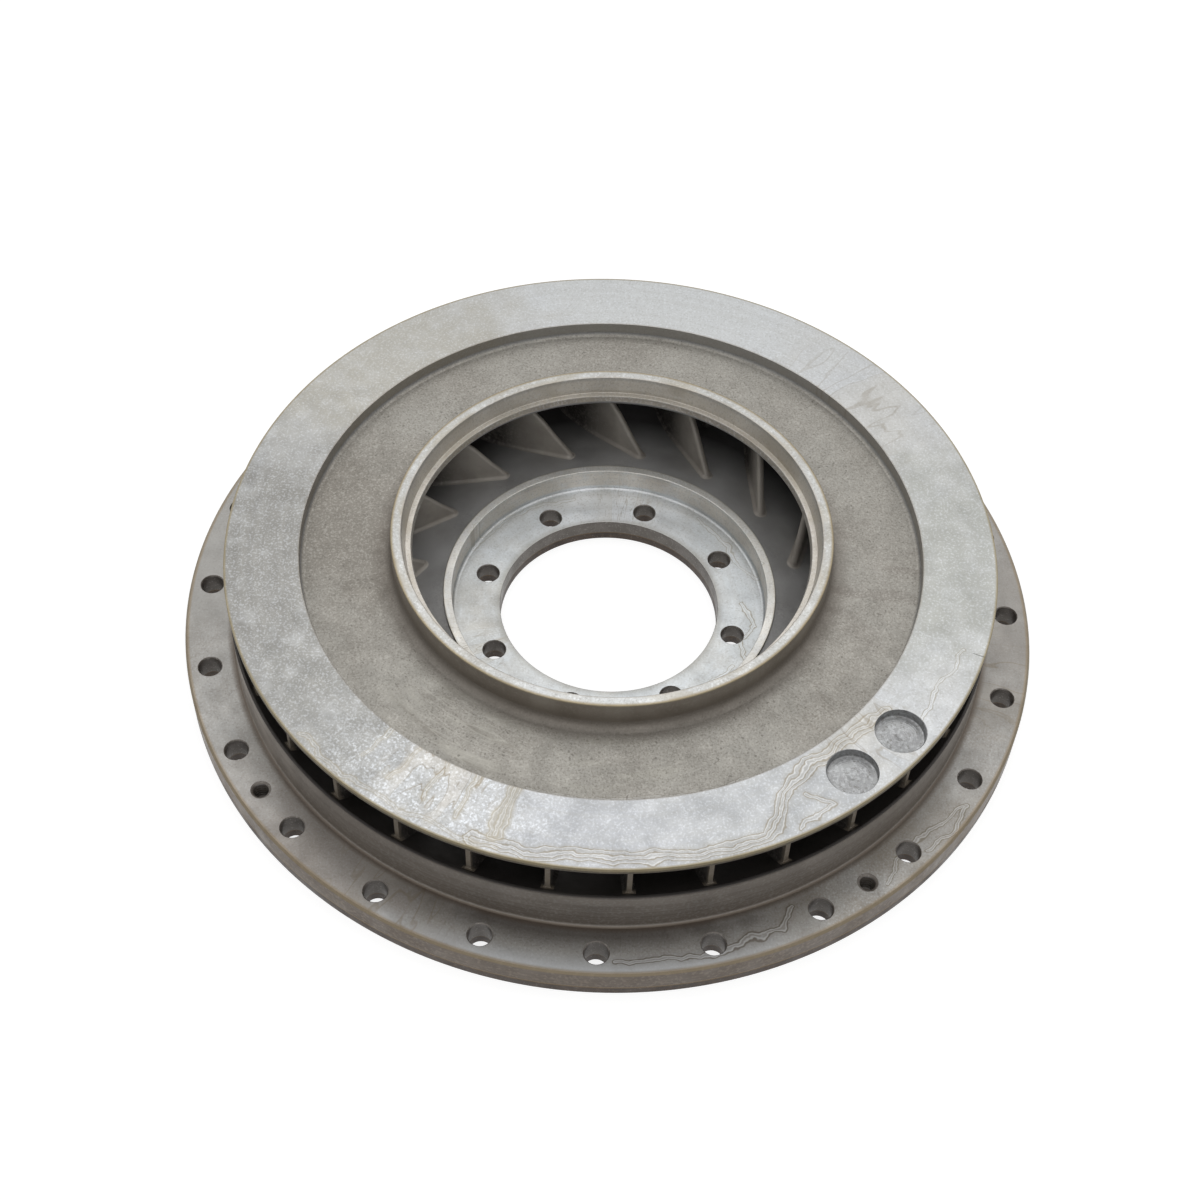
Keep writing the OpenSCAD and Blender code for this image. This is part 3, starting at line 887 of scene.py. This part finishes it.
def milled_pocket():
    """Bottom of a balance pocket: clean aluminium cut by an end mill, greyer than the
    turned face round it."""
    return finish(
        "end-milled aluminium", linear("#9b9c9c")[:3],
        [clouds(7, "#8e8e8f", 0.6), tint("grain", 1.3, 0.5, 0.62, "#c3c5c7", 0.45),
         tint("grain", 1.3, 0.47, 0.36, "#6d6a66", 0.6)],
        [("grain", 0.9, 0.04)], roughness=0.4, metallic=0.5)


def oiled_steel():
    """Hot-rolled steel ring under oil: dark brown, slightly glossy."""
    return finish(
        "oiled steel", looks().steel,
        [tint("grain", 10, 0.4, 0.65, "#352b25", 0.7), tint("grain", 3, 0.55, 0.7, "#6b5946", 0.5),
         band("height", 3.9, 4.5, "#8c744f", 0.5), tint("speckle", 0.8, 0.64, 0.8, "#8a8177", 0.4)],
        [("grain", 1.2, 0.03), ("turning", 1.2, 0.02)], roughness=0.45, metallic=0.4)


# ---------------------------------------------------------------- pieces

def below(spots, reach, face_z):
    """Test for faces cut into a machined face, within reach of one of the spots."""
    def test(face):
        x, y, z = face.center
        sunk = abs(face.normal.z) < 0.9 or (face.normal.z > 0 and z < face_z - 0.02 * MM)
        return sunk and any(math.hypot(x - u, y - v) < reach for u, v in spots)
    return test


class IMPELLER_OT_hub(bpy.types.Operator):
    """Turn and drill the hub, and the steel ring that backs it"""
    bl_idname = "impeller.hub"
    bl_label = "Hub"

    def execute(self, context):
        s = sizes()
        spots = on_circle(s.hub_bolt_r, s.hub_bolts, HUB_HOLE_TURN)
        reach = s.bolt_d / 2
        section = rounded([
            (s.bore_r, s.backing_z), (s.lip_r, s.backing_z), (s.lip_r, s.lip_z, s.edge),
            (s.lip_r - s.lip_w, s.lip_z, s.edge), (s.lip_r - s.lip_w, s.hub_z, s.hub_fillet),
            (s.bore_r, s.hub_z, s.edge)], 4)
        tools = bmesh.new()
        for x, y in spots:
            tool(tools, x, y, through(reach, s.backing_z, s.hub_z, 0.4 * MM))
        drilled = below(spots, reach + 0.4 * MM, s.hub_z)

        def chooser(face):
            """Cast below, drilled in the bore and the holes, turned elsewhere."""
            if face.normal.z < -0.9:
                return 2
            bore = face.center.xy.length < s.bore_r + 0.1 * MM
            return 1 if bore or drilled(face) else 0
        piece("turned_hub", turned(section),
              [turned_hub(), drilled_wall(), cast_back()], "hub", tools, chooser)

        section = rounded([
            (s.bore_r, 0.0, s.edge), (s.backing_r, 0.0, s.edge),
            (s.backing_r, s.backing_z), (s.bore_r, s.backing_z)])
        tools = bmesh.new()
        for x, y in spots:
            tool(tools, x, y, through(reach, 0.0, s.backing_z, 0.1 * MM))
        piece("hub_ring", turned(section), [oiled_steel()], "hub_backing_ring", tools)
        return {"FINISHED"}


class IMPELLER_OT_shell(bpy.types.Operator):
    """Cast the back shell and turn the outer wall round it"""
    bl_idname = "impeller.shell"
    bl_label = "Back shell and wall"

    def execute(self, context):
        s = sizes()
        wall_in = s.wall_r - s.wall_t
        foot = s.wall_r + s.wall_foot
        floor, back = floor_line(s), back_line(s)
        section = part_of(floor, s.lip_r, wall_in) + part_of(back, s.lip_r, wall_in)[::-1]
        piece("dished_shell", turned(section), [cast_passage(), cast_back()],
              "back_shell", None, lambda face: 1 if face.normal.z < -0.02 else 0)

        edge = [(s.wall_r - 0.25 * MM, s.wall_z), (s.wall_r, s.wall_z - 0.25 * MM)]
        section = (part_of(floor, wall_in, s.wall_r - s.wall_lip) + edge
                   + arc((foot, s.flange_z + s.wall_foot), s.wall_foot, 180, 270)
                   + [(foot, s.backing_z), (wall_in, s.backing_z)])
        middle = s.wall_r - 2 * MM

        def chooser(face):
            """Turned outside, passage above, the casting's back inside."""
            if face.center.xy.length > middle:
                return 0 if face.normal.z < 0.5 or face.center.z < s.flange_z + 2 * MM else 1
            return 1 if face.normal.z > 0.1 else 2
        piece("turned_wall", turned(section),
              [oiled_and_shaded_wall(), cast_passage(), cast_back()], "outer_wall", None, chooser, 50)
        return {"FINISHED"}


class IMPELLER_OT_flange(bpy.types.Operator):
    """Turn and drill the mounting flange, and the steel ring that backs it"""
    bl_idname = "impeller.flange"
    bl_label = "Mounting flange"

    def execute(self, context):
        s = sizes()
        foot = s.wall_r + s.wall_foot
        bolts = on_circle(s.bolt_r, s.bolts, 0)
        jacks = on_circle(s.bolt_r, s.jacks, JACK_TURN)
        section = rounded([
            (foot, s.backing_z), (s.flange_r, s.backing_z, 0.15 * MM),
            (s.flange_r, s.flange_z - s.flange_edge, 0.25 * MM),
            (s.flange_r - s.flange_edge, s.flange_z, 0.25 * MM), (foot, s.flange_z)])
        tools = bmesh.new()
        for x, y in bolts:
            tool(tools, x, y, through(s.bolt_d / 2, s.backing_z, s.flange_z, 0.45 * MM))
        for x, y in jacks:
            tool(tools, x, y, tapped(s.jack_d / 2, s.backing_z, s.flange_z, 0.8 * MM))
        in_bolt = below(bolts, s.bolt_d / 2 + 0.4 * MM, s.flange_z)
        in_jack = below(jacks, s.jack_d / 2 + 0.8 * MM, s.flange_z)

        def chooser(face):
            """Drilled in the holes, dark brown with painted shade at the edge, turned elsewhere."""
            if in_bolt(face) or in_jack(face):
                return 1
            rim = face.center.xy.length > s.flange_r - 1.1 * MM and face.normal.z < 0.9
            return 2 if rim else 0
        piece("drilled_flange", turned(section),
              [turned_flange(), drilled_wall(), shaded_flange_rim()], "mounting_flange", tools, chooser)

        section = rounded([
            (s.wall_r - s.wall_t, 0.0, s.edge), (s.flange_r, 0.0, s.edge),
            (s.flange_r, s.backing_z, 0.15 * MM), (s.wall_r - s.wall_t, s.backing_z)])
        tools = bmesh.new()
        for x, y in bolts:
            tool(tools, x, y, through(s.bolt_d / 2, 0.0, s.backing_z, 0.1 * MM))
        for x, y in jacks:
            tool(tools, x, y, through(s.jack_d / 2, 0.0, s.backing_z, 0.1 * MM))
        piece("flange_ring", turned(section), [oiled_steel()],
              "flange_backing_ring", tools)
        return {"FINISHED"}


class IMPELLER_OT_front(bpy.types.Operator):
    """Cast the front shroud, turn its ring and inlet rim, and mill the balance pockets"""
    bl_idname = "impeller.front"
    bl_label = "Front shroud, ring and rim"

    def execute(self, context):
        s = sizes()
        roof = roof_line(s)
        ring_in = s.wall_r - s.ring_w
        floor = s.face_z - s.recess
        section = (arc((ring_in - s.recess_fillet, floor + s.recess_fillet),
                       s.recess_fillet, 0, -90)
                   + arc((s.rim_r + s.rim_fillet, floor + s.rim_fillet), s.rim_fillet, 270, 180)
                   + part_of(roof, s.rim_r, ring_in))

        def under(face):
            return 1 if face.normal.z < -0.05 else 0
        piece("cast_shroud", turned(section), [sand_casting(), cast_passage()],
              "front_shroud", None, under)

        edge = s.edge
        section = part_of(roof, ring_in, s.wall_r - 0.02 * MM) + [
            (s.wall_r, s.face_z - s.ring_edge + 0.2 * MM), (s.wall_r, s.face_z - edge),
            (s.wall_r - 0.3 * edge, s.face_z - 0.3 * edge), (s.wall_r - edge, s.face_z),
            (ring_in + edge, s.face_z), (ring_in + 0.3 * edge, s.face_z - 0.3 * edge),
            (ring_in, s.face_z - edge)]
        pockets = [on_circle(s.pocket_r, 1, turn)[0] for turn in POCKET_TURNS]
        tools = bmesh.new()
        for (x, y), tilt in zip(pockets, POCKET_TILTS):
            tool(tools, x, y, end_mill(s.pocket_d / 2, s.face_z, s.pocket_depth), tilt, 72)
        scribe(tools, math.radians(SCRIBE_TURN), s.wall_r, s.face_z)
        in_pocket = below(pockets, s.pocket_d / 2 + 0.3 * MM, s.face_z)

        def ring_chooser(face):
            """Passage below, milled in the pockets, tarnished at the edge, turned on top."""
            if face.normal.z < -0.05:
                return 2
            if in_pocket(face):
                return 1
            return 3 if face.center.xy.length > s.wall_r - 0.4 * MM else 0
        piece("turned_ring", turned(section),
              [turned_face(), milled_pocket(), cast_passage(), ring_rim()],
              "front_ring", tools, ring_chooser)

        seat_z = s.rim_z - s.seat_depth
        eye = eye_r(s)
        section = part_of(roof, eye, s.rim_r) + rounded([
            (s.rim_r, seat_z), (s.rim_r, s.rim_z, 0.5 * MM),
            (s.rim_r - s.rim_flat, s.rim_z, 0.5 * MM),
            (eye + s.land_w + s.seat_w, seat_z, 0.3 * MM), (eye + s.land_w, seat_z, 0.25 * MM),
            (eye, land_z(s))])[:-1]

        def rim_chooser(face):
            """Passage below, browned and shaded outside, turned elsewhere."""
            outside = face.center.xy.length > s.rim_r - 0.2 * MM and face.normal.z < 0.7
            return 1 if face.normal.z < -0.05 else 2 if outside else 0
        piece("turned_rim", turned(section),
              [turned_rim_face(), cast_passage(), dark_rim_wall()], "inlet_rim", None, rim_chooser)
        return {"FINISHED"}


def scribe(mesh, angle, radius, face_z):
    """Add a scriber to the tools: it leaves a fine scratch across the edge of the ring."""
    half_width, length_in, above, depth = 0.25 * MM, 5.5 * MM, 0.3 * MM, 0.4 * MM
    outward = Vector((math.cos(angle), math.sin(angle), 0))
    across = Vector((-outward.y, outward.x, 0)) * half_width
    ends = [outward * (radius - length_in), outward * (radius + MM)]
    rise = Vector((0, 0, face_z))
    top = [end + side + rise + Vector((0, 0, above)) for end in ends for side in (across, -across)]
    low = [end + rise - Vector((0, 0, depth)) for end in ends]
    a, b, c, d, e, f = (mesh.verts.new(point) for point in top + low)
    for corners in ((a, b, d, c), (a, c, f, e), (b, e, f, d), (a, e, b), (c, d, f)):
        mesh.faces.new(corners)


def end_mill(radius, face_z, depth):
    """Profile of an end mill: a centre spot, faint rings and a soft corner."""
    low = face_z - depth
    profile = [(0.2 * MM, low - 0.45 * MM), (1.3 * MM, low)]
    rings = 9
    for i in range(1, rings):
        r = 1.3 * MM + (radius - 2.6 * MM) * i / rings
        profile += [(r - 0.25 * MM, low), (r, low + 0.05 * MM), (r + 0.25 * MM, low)]
    return profile + [(radius - 0.9 * MM, low), (radius - 0.3 * MM, low + 0.25 * MM),
                      (radius, low + 0.9 * MM), (radius, face_z - 0.25 * MM),
                      (radius + 0.25 * MM, face_z), (radius + MM, face_z + 0.8 * MM)]


# ---------------------------------------------------------------- vanes

def swept(s, radius, inlet, outlet):
    """Angle of the middle of a vane at a radius, from its full vane's inlet foot."""
    way = min(1, max(0, (radius - inlet) / (outlet - inlet)))
    return s.vane_wrap * (1 - (1 - way) ** s.vane_curl)


def outline(s, start, flare, inlet, outlet, sides=20):
    """Plan of a vane that starts at a radius, grown by the flare of its fillet."""
    def middle(radius):
        a = swept(s, radius, inlet, outlet)
        return Vector((radius * math.cos(a), radius * math.sin(a)))

    left, right = [], []
    nose = s.vane_t / 2
    for i in range(sides + 1):
        u = (i / sides) ** 1.35
        radius = start + nose * 0.6 + (outlet - start - nose * 0.6) * u
        here = middle(radius)
        along = (middle(radius + 0.1 * MM) - middle(radius - 0.1 * MM)).normalized()
        if i == sides:
            here = here + along * flare * 0.6
        side = Vector((-along.y, along.x)) * ((s.vane_t * (1 - u) + s.outlet_t * u) / 2 + flare)
        left.append(here + side)
        right.append(here - side)
        if i == 0:
            first, ahead, reach = here, -along, nose + flare
            across = Vector((-along.y, along.x))
    tip = []
    steps = 8
    for k in range(1, steps):
        a = math.pi * k / steps
        tip.append(first + (across * math.cos(a) + ahead * math.sin(a)) * reach)
    return left[::-1] + tip + right


def vane_mesh(s, start_low, start_high, turn):
    """A vane between shell and shroud, as plans stacked from below one to above the other."""
    floor, roof = floor_line(s), roof_line(s)
    inlet, outlet = eye_r(s) + VANE_START * MM, s.wall_r - VANE_END * MM
    f = s.vane_fillet
    rise = [0.02, 0.08, 0.2, 0.4, 0.7, 1.0]
    flares = [f - math.sqrt(f * f - (f - f * h) ** 2) for h in rise]
    stack = [(0, -0.4 * MM, f + 0.3 * MM)]
    stack += [(0, f * h, g) for h, g in zip(rise, flares)]
    stack += [(share, 0, 0) for share in (0.3, 0.5, 0.7)]
    stack += [(1, f * h, g) for h, g in zip(rise[::-1], flares[::-1])]
    stack += [(1, -0.4 * MM, f + 0.3 * MM)]
    mesh = bmesh.new()
    foot = mesh.verts.layers.float.new("foot")
    nose = mesh.verts.layers.float.new("nose")
    spin = Matrix.Rotation(turn, 2)
    rows = []
    for share, up, flare in stack:
        start = start_low + (start_high - start_low) * share
        plan = outline(s, start, flare, inlet, outlet)
        row = []
        for number, point in enumerate(plan):
            radius = min(max(point.length, s.lip_r), s.wall_r)
            low, high = height_on(floor, radius), height_on(roof, max(radius, eye_r(s)))
            z = {0: low + up, 1: high - up}.get(share, low + (high - low) * share)
            vert = mesh.verts.new((*(spin @ point), z))
            vert[foot] = min(1, flare / f * 1.6) * (1 - (radius - inlet) / (outlet - inlet))
            middle = abs(number - (len(plan) - 1) / 2)
            vert[nose] = max(0, 1 - middle / 5) if flare < 0.5 * f else 0
            row.append(vert)
        rows.append(row)
    count = len(rows[0])
    for lower, upper in zip(rows, rows[1:]):
        for i in range(count):
            j = (i + 1) % count
            mesh.faces.new((lower[i], lower[j], upper[j], upper[i]))
    for row in (rows[0], rows[-1]):
        for i in range(count // 2 - 1):
            mesh.faces.new((row[i], row[i + 1], row[count - 2 - i], row[count - 1 - i]))
        if count % 2:
            m = count // 2
            mesh.faces.new((row[m - 1], row[m], row[m + 1]))
    bmesh.ops.recalc_face_normals(mesh, faces=mesh.faces)
    return mesh


class IMPELLER_OT_vanes(bpy.types.Operator):
    """Cast the full vanes and the splitters between them"""
    bl_idname = "impeller.vanes"
    bl_label = "Vanes and splitters"

    def execute(self, context):
        s = sizes()
        eye = eye_r(s)
        for kind, offset, low, high in BLADES:
            for i in range(s.vanes):
                turn = s.vane_angle + (i + offset) * 2 * math.pi / s.vanes
                name = f"{kind}_{i + 1:02d}"
                mesh = vane_mesh(s, eye + low * MM, eye + high * MM, turn)
                piece("cast_" + name, mesh, [cast_vane()], name, smooth=60)
        return {"FINISHED"}


# ---------------------------------------------------------------- stage

class IMPELLER_OT_stage(bpy.types.Operator):
    """Set up the floor, the lamps, the world and the camera"""
    bl_idname = "impeller.stage"
    bl_label = "Studio"

    def execute(self, context):
        scene = context.scene
        scene.view_settings.view_transform = "Standard"
        self.world(scene)
        self.floor(scene)
        for lamp in LAMPS:
            self.lamp(scene, *lamp)
        self.camera(scene)
        return {"FINISHED"}

    def seen(self, tree):
        """1 for what the camera, a mirror or glass sees, and 0 for light on the wheel."""
        path = add(tree, "LightPath").outputs
        first = maths(tree, "MAXIMUM", path["Is Camera Ray"], path["Is Glossy Ray"])
        return maths(tree, "MAXIMUM", first, path["Is Transmission Ray"])

    def world(self, scene):
        world = bpy.data.worlds.new("studio")
        scene.world = world
        world.use_nodes = True
        tree = world.node_tree
        strength = ramp(tree, self.seen(tree), 0.0, 1.0, AMBIENT, 1.0)
        light = tree.nodes["Background"]
        light.inputs["Color"].default_value = (1, 1, 1, 1)
        tree.links.new(strength, light.inputs["Strength"])

    def floor(self, scene):
        mesh = bmesh.new()
        bmesh.ops.create_grid(mesh, x_segments=1, y_segments=1, size=4)
        data = bpy.data.meshes.new("floor")
        mesh.to_mesh(data)
        mesh.free()
        floor = bpy.data.objects.new("floor", data)
        floor.location.z = -0.02 * MM
        scene.collection.objects.link(floor)
        paper = bpy.data.materials.new("white paper sweep")
        paper.use_nodes = True
        tree = paper.node_tree
        shader = tree.nodes["Principled BSDF"]
        shader.inputs["Base Color"].default_value = [*looks().floor, 1]
        shader.inputs["Roughness"].default_value = 0.9
        shader.inputs["Emission Color"].default_value = (1, 1, 1, 1)
        strength = maths(tree, "MULTIPLY", self.seen(tree), PAPER_GLOW)
        tree.links.new(strength, shader.inputs["Emission Strength"])
        data.materials.append(paper)

    def lamp(self, scene, name, spot, size, power):
        light = bpy.data.lights.new(name, "AREA")
        light.size = size
        light.energy = power
        lamp = bpy.data.objects.new(name, light)
        lamp.location = spot
        lamp.rotation_euler = Vector(spot).to_track_quat("Z", "Y").to_euler()
        scene.collection.objects.link(lamp)

    def camera(self, scene):
        lens = bpy.data.cameras.new("camera")
        lens.lens = LENS
        lens.sensor_width = SENSOR
        camera = bpy.data.objects.new("camera", lens)
        scene.collection.objects.link(camera)
        rise, roll = math.radians(RISE), math.radians(ROLL)
        back = Vector((0, -math.cos(rise), math.sin(rise)))
        up = Vector((0, math.sin(rise), math.cos(rise)))
        side = Vector((1, 0, 0))
        right = side * math.cos(roll) + up * math.sin(roll)
        over = up * math.cos(roll) - side * math.sin(roll)
        matrix = Matrix((right, over, back)).transposed().to_4x4()
        matrix.translation = Vector(CAMERA_PLACE)
        camera.matrix_world = matrix
        scene.camera = camera


class IMPELLER_PT_panel(bpy.types.Panel):
    bl_label = "Pump impeller"
    bl_idname = "IMPELLER_PT_panel"
    bl_space_type = "VIEW_3D"
    bl_region_type = "UI"
    bl_category = "Impeller"

    def draw(self, context):
        layout = self.layout
        for group in (context.scene.impeller_sizes, context.scene.impeller_looks):
            for name in group.__annotations__:
                layout.prop(group, name)
        for operator in OPERATORS:
            layout.operator(operator.bl_idname)


OPERATORS = (IMPELLER_OT_stage, IMPELLER_OT_hub, IMPELLER_OT_shell, IMPELLER_OT_flange,
             IMPELLER_OT_front, IMPELLER_OT_vanes)
CLASSES = (ImpellerSizes, ImpellerLooks, *OPERATORS, IMPELLER_PT_panel)


def register():
    for kind in CLASSES:
        bpy.utils.register_class(kind)
    bpy.types.Scene.impeller_sizes = PointerProperty(type=ImpellerSizes)
    bpy.types.Scene.impeller_looks = PointerProperty(type=ImpellerLooks)


def unregister():
    del bpy.types.Scene.impeller_looks
    del bpy.types.Scene.impeller_sizes
    for kind in reversed(CLASSES):
        bpy.utils.unregister_class(kind)


def main():
    register()
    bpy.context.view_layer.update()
    bpy.ops.impeller.stage()
    bpy.ops.impeller.hub()
    bpy.ops.impeller.shell()
    bpy.ops.impeller.flange()
    bpy.ops.impeller.front()
    bpy.ops.impeller.vanes()


if __name__ == "__main__":
    main()
